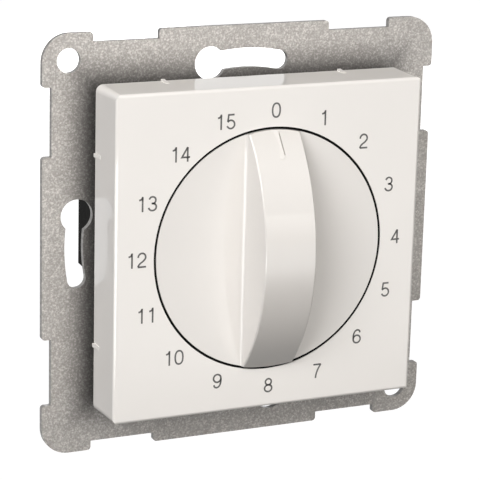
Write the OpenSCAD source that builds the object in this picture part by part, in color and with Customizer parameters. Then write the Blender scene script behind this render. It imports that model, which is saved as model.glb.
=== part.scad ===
// Flush wall timer switch: a 15 minute clockwork insert on a square steel frame, with a square central plate
// and a round grip knob. Sizes are millimetres.
// The origin is the middle of the frame's wall face, on the knob's axis.
// Every sub-part is drawn with x right, y up and z out of the wall, and is then stood up so that +Z is up.

/* [Mounting frame] */
// width and height of the square steel frame
frame_w = 71; // [68:0.5:76]
// thickness of the steel sheet
frame_t = 1; // [0.8:0.1:1.5]
// radius of the frame's four outer corners
frame_corner_r = 4.7; // [3:0.1:6]
// width of the tab in the middle of each side
tab_w = 30.8; // [24:0.2:36]
// length of each corner lug along a side
lug_len = 8.7; // [7.5:0.1:10]
// depth of the shallow notches between tab and lug
notch_depth = 1.6; // [1:0.1:2]
// radius of the corners of the tabs and lugs
edge_round = 0.6; // [0.3:0.1:1]
// diameter of the two round corner holes
corner_hole_d = 4; // [3:0.1:4.6]
// distance of the corner holes from the frame's edges
corner_hole_inset = 4.5; // [3.8:0.1:5.5]
// pitch circle diameter of the wall box screws
box_pitch_d = 60; // [58:0.5:61]
// width of the four curved screw slots
slot_w = 3.25; // [3:0.05:3.8]
// diameter of the wide end that passes a screw head
head_hole_d = 5.55; // [5:0.05:6.2]
// half the angle of the slots at top and bottom
slot_half_high = 12; // [8:0.5:14]
// half the angle of the slots at left and right
slot_half_side = 10.2; // [8:0.1:14]

/* [Central plate] */
// width and height of the square central plate at its rear edge
plate_w = 55; // [53:0.1:56]
// height of the plate's front face above the wall
plate_front = 12.5; // [11:0.1:15]
// depth of the plate from front face to rear edge
plate_depth = 8.5; // [7:0.1:9]
// how far each side of the plate leans in towards the front
plate_draft = 0.2; // [0:0.05:0.4]
// radius of the plate's upright corner edges
plate_corner_r = 1.2; // [0.8:0.1:2]
// radius of the edge round the front face
plate_edge_r = 0.5; // [0.2:0.1:0.7]
// thickness of the plate's side walls
plate_wall = 1.6; // [1.2:0.1:2]
// thickness of the plate's face
plate_face_t = 2; // [1.5:0.1:2.5]
// wall of the round well that the knob turns in
well_wall = 1.2; // [0.8:0.1:1.6]
// thickness of the floor of the well
well_floor_t = 1; // [0.8:0.1:1.4]
// distance of the crush ribs from the middle of a side
rib_offset = 16; // [10:0.5:20]
// width of a crush rib
rib_w = 0.65; // [0.4:0.05:1]
// length of a crush rib from the rear edge
rib_len = 2.2; // [1.5:0.1:3]
// height of a crush rib above the wall
rib_out = 0.3; // [0.2:0.05:0.5]
// width of the snap legs behind the plate
leg_w = 8; // [6:0.5:10]
// thickness of the snap legs
leg_t = 1.2; // [0.9:0.1:1.6]
// reach of the hook on a snap leg
barb_out = 0.7; // [0.4:0.1:0.8]
// thickness of the hook on a snap leg
barb_t = 0.6; // [0.4:0.1:0.8]
// diameter of the seat posts behind the plate
post_d = 3; // [2:0.1:3.4]
// distance of the seat posts from the middle of a side
post_offset = 13.5; // [11:0.5:15]

/* [Knob] */
// diameter of the knob's disc
knob_d = 40.3; // [38:0.1:41]
// thickness of the knob's face
knob_face_t = 2.2; // [1.6:0.1:2.6]
// thickness of the knob's skirt
knob_wall = 1.45; // [1:0.05:2]
// width of the grip bar
grip_w = 9.1; // [8:0.1:11]
// height of the grip bar in the middle
grip_h = 8.3; // [7:0.1:10]
// height of the grip bar at the rim of the disc
grip_end_h = 0.3; // [0.1:0.1:1]
// radius of the grip bar's long edges
grip_edge_r = 0.25; // [0.2:0.05:0.8]
// radius where the grip bar meets the disc
grip_foot_r = 0.5; // [0.2:0.1:1]
// wall of the hollow grip bar
grip_wall = 1.5; // [1:0.1:1.8]
// width of the pointer ridge
pointer_w = 1.1; // [0.6:0.1:1.6]
// length of the pointer ridge
pointer_len = 4.2; // [2:0.1:6]
// height of the pointer ridge along its right side
pointer_h = 0.25; // [0.15:0.05:0.5]
// width of the shadow groove along the ridge's right side
pointer_groove_w = 0.28; // [0.15:0.01:0.5]
// depth of the shadow groove
pointer_groove_depth = 0.45; // [0.2:0.05:0.8]
// diameter of the hub on the shaft
hub_d = 11; // [9.5:0.1:12]
// thickness of the spring clip in the hub
clip_t = 0.4; // [0.3:0.05:0.5]
// width of the spring clip in the hub
clip_w = 3.2; // [2:0.1:4]
// width of the black guide ring round the knob
ring_w = 0.35; // [0.25:0.05:0.8]
// depth of the ring's front edge below the plate's face
ring_sink = 0.1; // [0.05:0.05:0.4]

/* [Housing] */
// width of the eight sided housing across its flats
housing_w = 39.8; // [39:0.1:44]
// length of the slanted corners along a side
housing_cut = 9.9; // [8:0.1:11]
// depth of the housing behind the wall face
housing_depth = 24; // [24:0.5:30]
// wall thickness of the housing
housing_wall = 1.6; // [1.3:0.1:2]
// depth of the front half of the housing behind the wall face
cover_depth = 6; // [5:0.5:8]
// width of the square flange in front of the frame
flange_w = 46; // [45:0.5:48]
// thickness of the flange
flange_t = 3; // [2.6:0.1:3.4]
// radius of the flange corners
flange_corner_r = 3; // [2:0.5:4]
// depth of the groove in the flange for the snap legs
groove_depth = 0.9; // [0.8:0.05:1.2]
// height of the groove in the flange for the snap legs
groove_h = 1; // [0.9:0.05:1.2]
// length of the lip where the two halves meet
lip_len = 1; // [0.6:0.1:1.5]
// thickness of the lip where the two halves meet
lip_t = 0.8; // [0.6:0.1:1.2]
// radius of the screw bosses in the housing
boss_r = 2.5; // [2.3:0.1:2.7]
// diameter of the two wire entries
wire_d = 3.2; // [2.4:0.1:3.4]
// distance of the wire entries from the middle
wire_x = 6.5; // [6:0.1:7]
// diameter of the holes for the screwdriver
driver_hole_d = 5.2; // [5:0.1:5.6]

/* [Fasteners] */
// diameter of the frame screws
frame_screw_d = 2.5; // [2:0.1:3]
// distance of the frame screws from the flange's edges
frame_screw_inset = 4.8; // [3.6:0.1:5]
// diameter of the long housing screws
housing_screw_d = 2.2; // [1.8:0.1:2.5]
// diameter of the screws that hold the movement
movement_screw_d = 2; // [1.6:0.1:2]
// how far these screws reach into the pillars
movement_screw_reach = 3; // [2:0.5:4]
// extra radius of a screw head
head_out = 1; // [0.6:0.1:1.1]
// height of a screw head
head_h = 1.2; // [0.8:0.1:1.4]
// width of a screwdriver slot
driver_slot_w = 0.5; // [0.3:0.1:0.8]
// depth of a screwdriver slot
driver_slot_depth = 0.6; // [0.3:0.1:0.7]
// diameter of the terminal screws
terminal_screw_d = 2.8; // [2.4:0.1:2.9]

/* [Movement] */
// thickness of the two brass plates
brass_t = 1; // [0.8:0.1:1.2]
// radius of the brass plates
brass_r = 15; // [14.8:0.1:15.4]
// radius of the pillars between the plates
pillar_r = 1.5; // [1.4:0.1:1.7]
// distance of the pillars from the middle
pillar_pitch_r = 12.6; // [12.2:0.1:13]
// angles of the three pillars
pillar_angles = [112, 190, 292]; // [100:1:300]
// radius of the threaded ends of the pillars
stud_r = 0.8; // [0.6:0.05:0.9]
// radius of the nuts over their corners
nut_r = 2; // [1.6:0.1:2.2]
// height of the nuts
nut_h = 1.4; // [1:0.1:1.5]
// module of all wheels and pinions
gear_module = 0.28; // [0.26:0.01:0.3]
// teeth of the main wheel
main_teeth = 60; // [56:2:64]
// teeth of the second and third wheels
wheel_teeth = 40; // [36:2:42]
// leaves of the pinions
pinion_teeth = 10; // [10:1:12]
// pressure angle of the teeth
pressure_angle = 25; // [24:0.5:26]
// height of a tooth above its pitch circle, in modules
addendum = 0.8; // [0.7:0.05:0.85]
// depth of a tooth below its pitch circle, in modules
dedendum = 1.1; // [1.05:0.05:1.2]
// amount by which each tooth is thinner than half its pitch
tooth_gap = 0.03; // [0.02:0.005:0.05]
// extra distance between meshing axes
mesh_gap = 0.03; // [0.01:0.01:0.05]
// thickness of the main wheel
main_wheel_t = 1; // [0.8:0.1:1.2]
// thickness of the other wheels
wheel_t = 0.8; // [0.6:0.1:1]
// length of a pinion beyond its wheel at each face
pinion_over = 0.4; // [0.3:0.05:0.5]
// free space between layers of the movement
level_gap = 0.9; // [0.8:0.05:1.1]
// direction from the main arbor to the second arbor
second_dir = -20; // [-23:1:-18]
// direction from the second arbor to the third arbor
third_dir = 85; // [80:1:87]
// direction from the third arbor to the escape arbor
escape_dir = 130; // [126:1:134]
// direction from the escape arbor to the pallet arbor
pallet_dir = 170; // [164:1:174]
// radius of the thin arbors
arbor_r = 0.7; // [0.6:0.05:0.8]
// radius of the pivots of the thin arbors
pivot_r = 0.45; // [0.35:0.05:0.5]
// endshake of the thin arbors at each plate
endshake = 0.15; // [0.1:0.05:0.2]
// tip radius of the escape wheel
escape_r = 4; // [3.8:0.05:4.2]
// teeth of the escape wheel
escape_teeth = 15; // [15:1:15]
// height of the escape teeth
escape_tooth_h = 1; // [0.8:0.05:1.1]
// half width of an escape tooth at its tip, in degrees
escape_tip_half = 1; // [0.6:0.1:1.4]
// half width of an escape tooth at its root, in degrees
escape_root_half = 5; // [4:0.1:6]
// escape teeth spanned by the pallet pins
pallet_span = 3.5; // [3.5:1:3.5]
// radius of the two pallet pins
pallet_pin_r = 0.2; // [0.15:0.01:0.22]
// gap between the pins and the escape wheel at rest
pallet_gap = 0.08; // [0.05:0.01:0.12]
// thickness of the pallet lever
pallet_t = 0.7; // [0.5:0.05:0.8]
// half width of the arms of the pallet lever
pallet_arm_half = 0.45; // [0.35:0.05:0.6]
// radius of the hubs of the pallet lever
pallet_hub_r = 1.3; // [1:0.05:1.5]

/* [Winding arbor and spring] */
// diameter of the winding shaft
shaft_d = 6; // [5:0.1:6.2]
// how far the shaft reaches past the plate's face into the grip
shaft_out = 3.5; // [2:0.1:4]
// depth of the flat on the shaft
shaft_flat = 1.5; // [1.2:0.1:1.8]
// radius of the seat of the main wheel
seat_r = 2.4; // [2.2:0.05:2.6]
// radius of the rear end of the arbor
tail_r = 2; // [1.6:0.05:2.1]
// depth of the flat on the rear end of the arbor
tail_flat = 0.5; // [0.3:0.05:0.7]
// wall of the brass bush round the shaft
bush_wall = 1.5; // [1:0.1:2]
// extra radius of the flange of the bush
bush_flange_out = 1.5; // [1:0.1:2]
// thickness of the flange of the bush
bush_flange_t = 0.8; // [0.6:0.1:1]
// height of the mainspring strip
spring_h = 2.6; // [2:0.1:3]
// thickness of the mainspring strip
spring_t = 0.25; // [0.2:0.01:0.3]
// coils of the mainspring
spring_turns = 5; // [4:0.5:6]
// outer radius of the mainspring
spring_out_r = 8.2; // [7.8:0.1:8.4]
// radius of the post that holds the mainspring
spring_post_r = 0.6; // [0.5:0.05:0.7]
// direction of the post that holds the mainspring
spring_post_dir = 150; // [140:1:160]
// thickness of the dished clutch washer
washer_t = 0.25; // [0.2:0.05:0.3]
// dished height of the clutch washer
washer_h = 0.7; // [0.6:0.05:0.8]
// outer radius of the clutch washer
washer_r = 4.6; // [4:0.1:5]
// outer radius of the clutch collar
collar_r = 3.6; // [3.2:0.1:3.7]
// thickness of the clutch collar
collar_t = 0.8; // [0.6:0.1:1]

/* [Switch] */
// full turn of the knob, in degrees
turn_range = 337.5; // [330:0.5:340]
// radius of the switch cam
cam_r = 6.2; // [5.8:0.1:6.4]
// thickness of the switch cam
cam_t = 3.2; // [2.6:0.1:3.6]
// depth of the notch in the cam
cam_notch = 0.9; // [0.7:0.05:1.2]
// width of the notch at the rim of the cam
cam_notch_w = 6; // [5.5:0.1:7]
// distance of the stop pin from the arbor
stop_r = 6; // [5.6:0.1:6.4]
// radius of the stop pin
stop_pin_r = 0.6; // [0.5:0.05:0.65]
// thickness of the stop lug on the cam
stop_lug_t = 1.2; // [1:0.1:1.4]
// thickness of the clip behind the cam
cam_clip_t = 0.6; // [0.5:0.05:0.8]
// depth of the groove for the clip behind the cam
cam_clip_groove = 0.5; // [0.3:0.05:0.6]
// thickness of the contact leaf
leaf_t = 0.4; // [0.3:0.05:0.5]
// width of the contact leaf
leaf_w = 3; // [2.6:0.1:3.1]
// distance of the leaf's nose from the floor of the notch
leaf_nose_gap = 0.3; // [0.2:0.05:0.4]
// distance of the leaf below the cam's rim
leaf_drop = 1.4; // [1.3:0.05:1.6]
// half width of the leaf's nose at its tip
leaf_nose_half = 0.6; // [0.4:0.05:0.8]
// half width of the leaf's nose at its foot
leaf_nose_foot = 2.2; // [1.8:0.1:2.4]
// radius of the contact rivets
contact_r = 1.4; // [1.2:0.1:1.45]
// height of a contact rivet's head
contact_h = 0.8; // [0.6:0.05:1]
// radius of the shank of the moving contact
contact_shank_r = 0.7; // [0.5:0.05:0.8]
// open gap between the contacts
contact_gap = 0.6; // [0.4:0.05:0.8]
// width of a terminal clamp
clamp_w = 5.4; // [5:0.1:5.6]
// height of a terminal clamp
clamp_h = 6.2; // [6:0.1:6.4]
// height from the wire to the underside of a clamp
clamp_foot = 3.4; // [3.2:0.05:3.6]
// depth of the wire hole in a clamp
clamp_hole_depth = 7; // [6:0.5:8]

/* [Clearances] */
// gap between parts that only lie side by side
fit_gap = 0.05; // [0.03:0.01:0.1]
// gap round the housing in the frame
aperture_gap = 0.2; // [0.1:0.05:0.4]
// gap between snap legs and flange
leg_gap = 0.15; // [0.1:0.05:0.2]
// gap below and above moving parts
run_gap = 0.4; // [0.3:0.05:0.5]
// gap round the knob in its ring
knob_gap = 0.06; // [0.04:0.01:0.1]
// gap between stop lug and stop pin at each end of travel
stop_gap = 0.05; // [0.03:0.01:0.08]

/* [Hidden] */
$fa = 6;
$fs = 0.4;
join = 0.6;
frame_half = frame_w / 2;
plate_half = plate_w / 2;
plate_rear = plate_front - plate_depth;
plate_in_half = plate_half - plate_wall;
plate_front_half = plate_half - plate_draft;
plate_corner_p = plate_half - plate_corner_r;
plate_corner_front_r = plate_corner_r - plate_draft * plate_depth / (plate_depth - plate_edge_r);
flange_half = flange_w / 2;
housing_half = housing_w / 2;
inner_half = housing_half - housing_wall;
knob_r = knob_d / 2;
ring_in_r = knob_r + knob_gap;
ring_out_r = ring_in_r + ring_w;
well_in_r = ring_out_r + fit_gap / 2;
well_out_r = well_in_r + well_wall;

// levels along the axis, from front to rear
flange_z = frame_t + flange_t;
wall_in_z = flange_z - housing_wall;
front_plate_z = wall_in_z - brass_t;
spring_z1 = front_plate_z - run_gap;
spring_z0 = spring_z1 - spring_h;
main_z1 = spring_z0 - level_gap;
main_z0 = main_z1 - main_wheel_t;
washer_z0 = main_z0 - washer_h;
collar_z0 = washer_z0 - collar_t;
second_z1 = main_z0 - pinion_over - level_gap;
second_z0 = second_z1 - wheel_t;
third_z1 = second_z0 - pinion_over - level_gap;
third_z0 = third_z1 - wheel_t;
rear_plate_z1 = third_z0 - pinion_over - level_gap;
rear_plate_z = rear_plate_z1 - brass_t;
lug_z1 = rear_plate_z - run_gap;
cam_z1 = min(lug_z1 - stop_lug_t, rear_plate_z - nut_h - run_gap);
cam_z0 = cam_z1 - cam_t;
clip_z1 = cam_z0 - fit_gap;
clip_z0 = clip_z1 - cam_clip_t;
tail_z0 = clip_z0 - cam_clip_t;
floor_z = housing_wall - housing_depth;
split_z = -cover_depth;

// levels in front of the flange
bush_top_z = flange_z + bush_flange_t;
well_floor_z = max(flange_z + head_h, bush_top_z) + 2 * run_gap + driver_slot_depth;
well_floor_top = well_floor_z + well_floor_t;
knob_skirt_z = well_floor_top + run_gap;
clip_foot_z = bush_top_z + run_gap / 2;
hub_z = clip_foot_z + clip_t;
knob_under_z = plate_front - knob_face_t;
shaft_top_z = plate_front + shaft_out;

// places of the arbors
train_a = gear_module * (main_teeth + pinion_teeth) / 2 + mesh_gap;
train_b = gear_module * (wheel_teeth + pinion_teeth) / 2 + mesh_gap;
second_p = polar(train_a, second_dir);
third_p = second_p + polar(train_b, third_dir);
escape_p = third_p + polar(train_b, escape_dir);
pallet_half = 180 * pallet_span / escape_teeth;
pallet_a = escape_r / cos(pallet_half);
pallet_p = escape_p + polar(pallet_a, pallet_dir);
pallet_pin_pitch = escape_r + pallet_pin_r + pallet_gap;
pallet_pins_p = [for (s = [-1, 1]) escape_p + polar(pallet_pin_pitch, pallet_dir + s * pallet_half)];
pallet_z0 = second_z1 + run_gap;
pallet_z1 = pallet_z0 + pallet_t;
pinion_r = gear_module * (pinion_teeth / 2 - dedendum);

// rotation of each toothed part, so that the teeth mesh at rest
second_phase = mesh_phase(second_dir, 0, main_teeth);
third_phase = mesh_phase(third_dir, 0, wheel_teeth);
escape_phase = mesh_phase(escape_dir, 0, wheel_teeth);

// places of the fasteners and the switch parts
shaft_r = shaft_d / 2;
bush_r = shaft_r + fit_gap + bush_wall;
frame_screw_p = flange_half - frame_screw_inset;
inner_diag = (2 * housing_half - housing_cut) / sqrt(2) - housing_wall;
boss_p = (inner_diag - boss_r + join) / sqrt(2);
boss_places = [[-boss_p, boss_p], [boss_p, -boss_p]];
pillar_places = [for (a = pillar_angles) polar(pillar_pitch_r, a)];
stop_angle = (360 - turn_range) / 2;
stop_lug_half = stop_r * sin(stop_angle) - stop_pin_r - stop_gap;
leaf_top_y = -cam_r - leaf_drop;
leaf_mid_y = leaf_top_y - leaf_t / 2;
nose_y = cam_notch - cam_r - leaf_nose_gap - leaf_t / 2;
riser_x = wire_x + (clamp_w - leaf_t) / 2;
leaf_end_x = -wire_x - contact_r - leaf_t;
clamp_top_y = leaf_top_y - leaf_t - 2 * contact_h - contact_gap - leaf_t;
clamp_y0 = clamp_top_y - clamp_h;
wire_y = clamp_y0 + clamp_foot;
clamp_z1 = cam_z1 - fit_gap;
leaf_z1 = clamp_z1 - fit_gap;
leaf_z0 = leaf_z1 - leaf_w;
leaf_mid_z = (leaf_z0 + leaf_z1) / 2;
clamp_screw_z = floor_z + clamp_hole_depth / 2;

// point at a radius and an angle
function polar(r, a) = [r * cos(a), r * sin(a)];

// rotation of a pinion that meshes with a wheel of z teeth, seen from the wheel in direction dir
function mesh_phase(dir, wheel_phase, z) =
    dir + 180 + z / pinion_teeth * (dir - wheel_phase) + 180 / pinion_teeth;

// involute function, in degrees
function involute(a) = tan(a) * 180 / PI - a;

// half the angle of a tooth at radius rho
function tooth_half(rho, r) = 90 * (PI * gear_module / 2 - tooth_gap) / (PI * r)
    + involute(pressure_angle) - involute(acos(min(1, r * cos(pressure_angle) / rho)));

// outline of a wheel or pinion with z involute teeth
function gear_points(z) =
    let (r = gear_module * z / 2)
    let (tip = r + addendum * gear_module)
    let (root = r - dedendum * gear_module)
    let (base = r * cos(pressure_angle))
    let (low = max(base, root))
    let (flank = concat(root < base ? [root] : [], [low, (low + tip) / 2, tip]))
    let (n = len(flank))
    [for (k = [0:z - 1], i = [0:2 * n - 1])
        let (rho = i < n ? flank[i] : flank[2 * n - 1 - i])
        let (side = i < n ? -1 : 1)
        polar(rho, 360 * k / z + side * tooth_half(max(rho, base), r))];

// outline of the escape wheel
function escape_points() =
    [for (k = [0:escape_teeth - 1], i = [0:3])
        let (at_tip = i == 1 || i == 2)
        let (side = i < 2 ? -1 : 1)
        polar(at_tip ? escape_r : escape_r - escape_tooth_h,
            360 * k / escape_teeth + side * (at_tip ? escape_tip_half : escape_root_half))];

// unit vector from a to b
function unit(a, b) = (b - a) / norm(b - a);

// offset of a strip's edge at point i of a path
function edge_offset(path, i) =
    let (n = len(path))
    let (d0 = unit(path[max(0, min(i, n - 1) - 1)], path[max(1, i)]))
    let (d1 = unit(path[min(n - 2, i)], path[min(n - 1, i + 1)]))
    let (m = (d0 + d1) / norm(d0 + d1))
    [-m[1], m[0]] / (m * d1);

// outline of a bent strip of thickness t along a path
function strip(path, t) = concat(
    [for (i = [0:len(path) - 1]) path[i] + edge_offset(path, i) * t / 2],
    [for (i = [len(path) - 1:-1:0]) path[i] - edge_offset(path, i) * t / 2]);

// path of the mainspring, from the shaft to its post
function spring_path() =
    let (steps = 24 * spring_turns)
    let (inner = shaft_r + spring_t)
    [for (i = [0:steps])
        let (part = i / steps)
        polar(inner + (spring_out_r - inner) * part, spring_post_dir - 360 * spring_turns * (1 - part))];

// path of the contact leaf, from its clamp over the cam's nose to the contact
function leaf_path() = [
    [wire_x, clamp_top_y + leaf_t / 2],
    [riser_x, clamp_top_y + leaf_t / 2],
    [riser_x, leaf_mid_y],
    [leaf_nose_foot, leaf_mid_y],
    [leaf_nose_half, nose_y],
    [-leaf_nose_half, nose_y],
    [-leaf_nose_foot, leaf_mid_y],
    [leaf_end_x, leaf_mid_y]];

// stands a sub-part up on the wall
module stand() rotate([90, 0, 0]) children();

// round bar along the axis
module rod(r, z0, z1, p = [0, 0]) translate([p[0], p[1], z0]) cylinder(r = r, h = z1 - z0);

// round bar upwards, along y
module post(r, y0, y1, x, z) translate([x, y1, z]) rotate([90, 0, 0]) cylinder(r = r, h = y1 - y0);

// flat shape given its thickness
module prism(z0, z1) translate([0, 0, z0]) linear_extrude(z1 - z0) children();

// the same thing on all four sides
module on_sides() for (a = [0:90:270]) rotate([0, 0, a]) children();

// eight sided outline
module octagon(half, cut) polygon([
    [half, half - cut], [half - cut, half], [cut - half, half], [-half, half - cut],
    [-half, cut - half], [cut - half, -half], [half - cut, -half], [half, cut - half]]);

// outline of the housing, moved inwards
module housing_outline(inset) octagon(housing_half - inset, housing_cut - inset * (2 - sqrt(2)));

// square with round corners
module soft_square(half, r) {
    square([2 * (half - r), 2 * half], center = true);
    square([2 * half, 2 * (half - r)], center = true);
    for (x = [-1, 1], y = [-1, 1]) translate([x * (half - r), y * (half - r)]) circle(r);
}

// slotted screw, its head on z = 0 and its shank behind
module screw(r, len) {
    difference() {
        rod(r + head_out, 0, head_h);
        translate([0, 0, head_h])
            cube([2 * (r + head_out) + join, driver_slot_w, 2 * driver_slot_depth], center = true);
    }
    rod(r, -len, join / 2);
}

// tab in the middle of one side of the frame
module frame_tab() {
    translate([-tab_w / 2, frame_half - notch_depth - edge_round])
        square([tab_w, notch_depth]);
    translate([edge_round - tab_w / 2, frame_half - notch_depth - edge_round])
        square([tab_w - 2 * edge_round, notch_depth + edge_round]);
    for (s = [-1, 1]) translate([s * (tab_w / 2 - edge_round), frame_half - edge_round]) circle(edge_round);
}

// lug at one corner of the frame
module frame_lug() {
    low = frame_half - lug_len;
    mid = frame_half - frame_corner_r;
    translate([mid, mid]) circle(frame_corner_r);
    translate([low + edge_round, low]) square([mid - low - edge_round, lug_len]);
    translate([low, low + edge_round]) square([lug_len, mid - low - edge_round]);
    translate([low, low]) square([edge_round, lug_len - edge_round]);
    translate([low, low]) square([lug_len - edge_round, edge_round]);
    translate([low + edge_round, frame_half - edge_round]) circle(edge_round);
    translate([frame_half - edge_round, low + edge_round]) circle(edge_round);
}

// curved part of a screw slot on the pitch circle
module slot_curve(dir, half) rotate([0, 0, dir - half]) translate([0, 0, -frame_t])
    rotate_extrude(angle = 2 * half) translate([(box_pitch_d - slot_w) / 2, 0]) square([slot_w, 3 * frame_t]);

// ends of a screw slot, the wide one after dir or before it
module slot_ends(dir, half, wide) {
    rod(slot_w / 2, -frame_t, 2 * frame_t, polar(box_pitch_d / 2, dir - wide * half));
    rod(head_hole_d / 2, -frame_t, 2 * frame_t, polar(box_pitch_d / 2, dir + wide * half));
}

// steel sheet with the curved part of its screw slots
module frame_sheet() difference() {
    prism(0, frame_t) {
        square(frame_w - 2 * notch_depth, center = true);
        on_sides() frame_tab();
        on_sides() frame_lug();
    }
    for (dir = [90, 270]) slot_curve(dir, slot_half_high);
    for (dir = [0, 180]) slot_curve(dir, slot_half_side);
}

module mounting_frame() color([0.66, 0.66, 0.64]) difference() {
    frame_sheet();
    prism(-frame_t, 2 * frame_t) housing_outline(-aperture_gap);
    for (s = [-1, 1])
        rod(corner_hole_d / 2, -frame_t, 2 * frame_t,
            [-s * (frame_half - corner_hole_inset), s * (frame_half - corner_hole_inset)]);
    for (dir = [90, 270]) slot_ends(dir, slot_half_high, 1);
    for (dir = [0, 180]) slot_ends(dir, slot_half_side, -1);
    for (x = [-1, 1], y = [-1, 1])
        rod(frame_screw_d / 2 + fit_gap, -frame_t, 2 * frame_t, [x * frame_screw_p, y * frame_screw_p]);
}

// side view of the central plate with its leaning sides and rounded front edge
module plate_profile() {
    polygon([
        [-plate_half, plate_rear], [plate_half, plate_rear],
        [plate_front_half, plate_front - plate_edge_r], [-plate_front_half, plate_front - plate_edge_r]]);
    translate([plate_edge_r - plate_front_half, plate_rear])
        square([2 * (plate_front_half - plate_edge_r), plate_depth]);
    for (s = [-1, 1])
        translate([s * (plate_front_half - plate_edge_r), plate_front - plate_edge_r]) circle(plate_edge_r);
}

// block with round upright corners that lean in with the sides
module plate_block() {
    for (a = [0, 90]) rotate([0, 0, a]) translate([-plate_corner_p, -plate_half, plate_rear])
        cube([2 * plate_corner_p, plate_w, plate_depth]);
    for (x = [-1, 1], y = [-1, 1]) translate([x * plate_corner_p, y * plate_corner_p, plate_rear])
        cylinder(r1 = plate_corner_r, r2 = plate_corner_front_r, h = plate_depth);
}

// hooked leg behind the right side of the plate
module snap_leg() {
    x = flange_half + leg_gap;
    top = plate_front - plate_face_t / 2;
    low = frame_t + run_gap;
    groove_mid = frame_t + flange_t / 2;
    translate([x, -leg_w / 2, low]) cube([leg_t, leg_w, top - low]);
    translate([x - barb_out, -leg_w / 2, groove_mid - barb_t / 2])
        cube([barb_out + leg_t / 2, leg_w, barb_t]);
}

// crush ribs on the right side of the plate
module crush_ribs() for (s = [-1, 1])
    translate([plate_half, s * rib_offset + rib_w / 2, plate_rear]) rotate([90, 0, 0])
        linear_extrude(rib_w) polygon([[-join, 0], [rib_out, 0], [0, rib_len], [-join, rib_len]]);

module central_plate() color([0.93, 0.92, 0.86]) difference() {
    union() {
        difference() {
            intersection() {
                plate_block();
                rotate([90, 0, 0]) linear_extrude(plate_w + join, center = true) plate_profile();
                rotate([90, 0, 90]) linear_extrude(plate_w + join, center = true) plate_profile();
            }
            translate([-plate_in_half, -plate_in_half, plate_rear - join])
                cube([2 * plate_in_half, 2 * plate_in_half, plate_depth - plate_face_t + join]);
        }
        rod(well_out_r, well_floor_z, plate_front - plate_face_t / 2);
        for (x = [-1, 1], y = [-1, 1])
            rod(post_d / 2, flange_z, plate_front - plate_face_t / 2,
                [x * post_offset, y * (flange_half - post_d / 2 - run_gap)]);
        on_sides() snap_leg();
        on_sides() crush_ribs();
    }
    rod(well_in_r, well_floor_top, plate_front + join);
    rod(hub_d / 2 + run_gap, well_floor_z - join, well_floor_top + join);
}

module guide_ring() color([0.05, 0.05, 0.05]) difference() {
    rod(ring_out_r, well_floor_top, plate_front - ring_sink);
    rod(ring_in_r, well_floor_top - join, plate_front + join);
}

// radius of the arched front of the grip, and the height of its centre
grip_rise = grip_h - grip_end_h;
grip_arch_r = (knob_r * knob_r + grip_rise * grip_rise) / (2 * grip_rise);
grip_centre_z = plate_front + grip_h - grip_arch_r;

// wheel of radius r and width w, lying across the knob behind the arched front
module arch(r, w, edge) translate([0, 0, grip_centre_z]) rotate([0, 90, 0]) rotate_extrude() {
    translate([0, edge - w / 2]) square([r, w - 2 * edge]);
    translate([0, -w / 2]) square([r - edge, w]);
    for (s = [-1, 1]) translate([r - edge, s * (w / 2 - edge)]) circle(edge);
}

// the same wheel with sharp edges
module plain_arch(r, w) translate([-w / 2, 0, grip_centre_z]) rotate([0, 90, 0]) cylinder(r = r, h = w);

// hollow of the grip bar, round the hub
module grip_hollow() difference() {
    intersection() {
        plain_arch(grip_arch_r - grip_wall, grip_w - 2 * grip_wall);
        rod(knob_r - knob_wall, knob_under_z - join, plate_front + grip_h);
    }
    rod(hub_d / 2, knob_under_z - 2 * join, plate_front + grip_h);
}

// concave foot of the grip bar
module grip_foot() intersection() {
    difference() {
        translate([-grip_w / 2 - grip_foot_r, -knob_r, knob_under_z + knob_face_t / 2])
            cube([grip_w + 2 * grip_foot_r, knob_d, knob_face_t / 2 + grip_foot_r]);
        for (s = [-1, 1])
            post(grip_foot_r, -knob_d, knob_d, s * (grip_w / 2 + grip_foot_r), plate_front + grip_foot_r);
    }
    rod(knob_r, knob_under_z, plate_front + grip_h);
    plain_arch(grip_arch_r, grip_w + 4 * grip_foot_r);
}

// height of the arched front at a distance from the middle
function arch_z(y) = grip_centre_z + sqrt(grip_arch_r * grip_arch_r - y * y);

// ridge that points to the scale: it rises to a step along its right side, and its inner end is round
module pointer_ridge() {
    tip = knob_r - pointer_len;
    drop = arch_z(tip) - arch_z(knob_r);
    span = norm([pointer_len, drop]) + pointer_w;
    under = grip_wall / 2;
    intersection() {
        prism(knob_under_z + knob_face_t / 2, plate_front + grip_h) {
            translate([0, tip + pointer_w / 2]) circle(pointer_w / 2);
            translate([-pointer_w / 2, tip + pointer_w / 2]) square([pointer_w, pointer_len]);
        }
        translate([pointer_w / 2, tip, arch_z(tip) - fit_gap / 2]) rotate([-atan2(drop, pointer_len), 0, 0])
            translate([-2 * pointer_w, span, 0]) rotate([90, 0, 0]) linear_extrude(span + pointer_w) polygon([
                [0, -under], [3 * pointer_w, -under], [3 * pointer_w, 2 * pointer_h], [0, -pointer_h]]);
    }
}

// groove along the ridge's right side, as deep all along the arch
module pointer_groove() difference() {
    prism(knob_under_z + knob_face_t / 2, plate_front + grip_h + 2 * join)
        translate([pointer_w / 2, knob_r - pointer_len + pointer_w / 2])
            square([pointer_groove_w, pointer_len]);
    plain_arch(grip_arch_r - pointer_groove_depth, grip_w + 2 * join);
}

// outline of the shaft's flatted end
module shaft_outline(gap, flat_gap) intersection() {
    circle(shaft_r + gap);
    translate([-2 * shaft_r, -2 * shaft_r]) square([3 * shaft_r - shaft_flat + flat_gap, 4 * shaft_r]);
}

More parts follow.
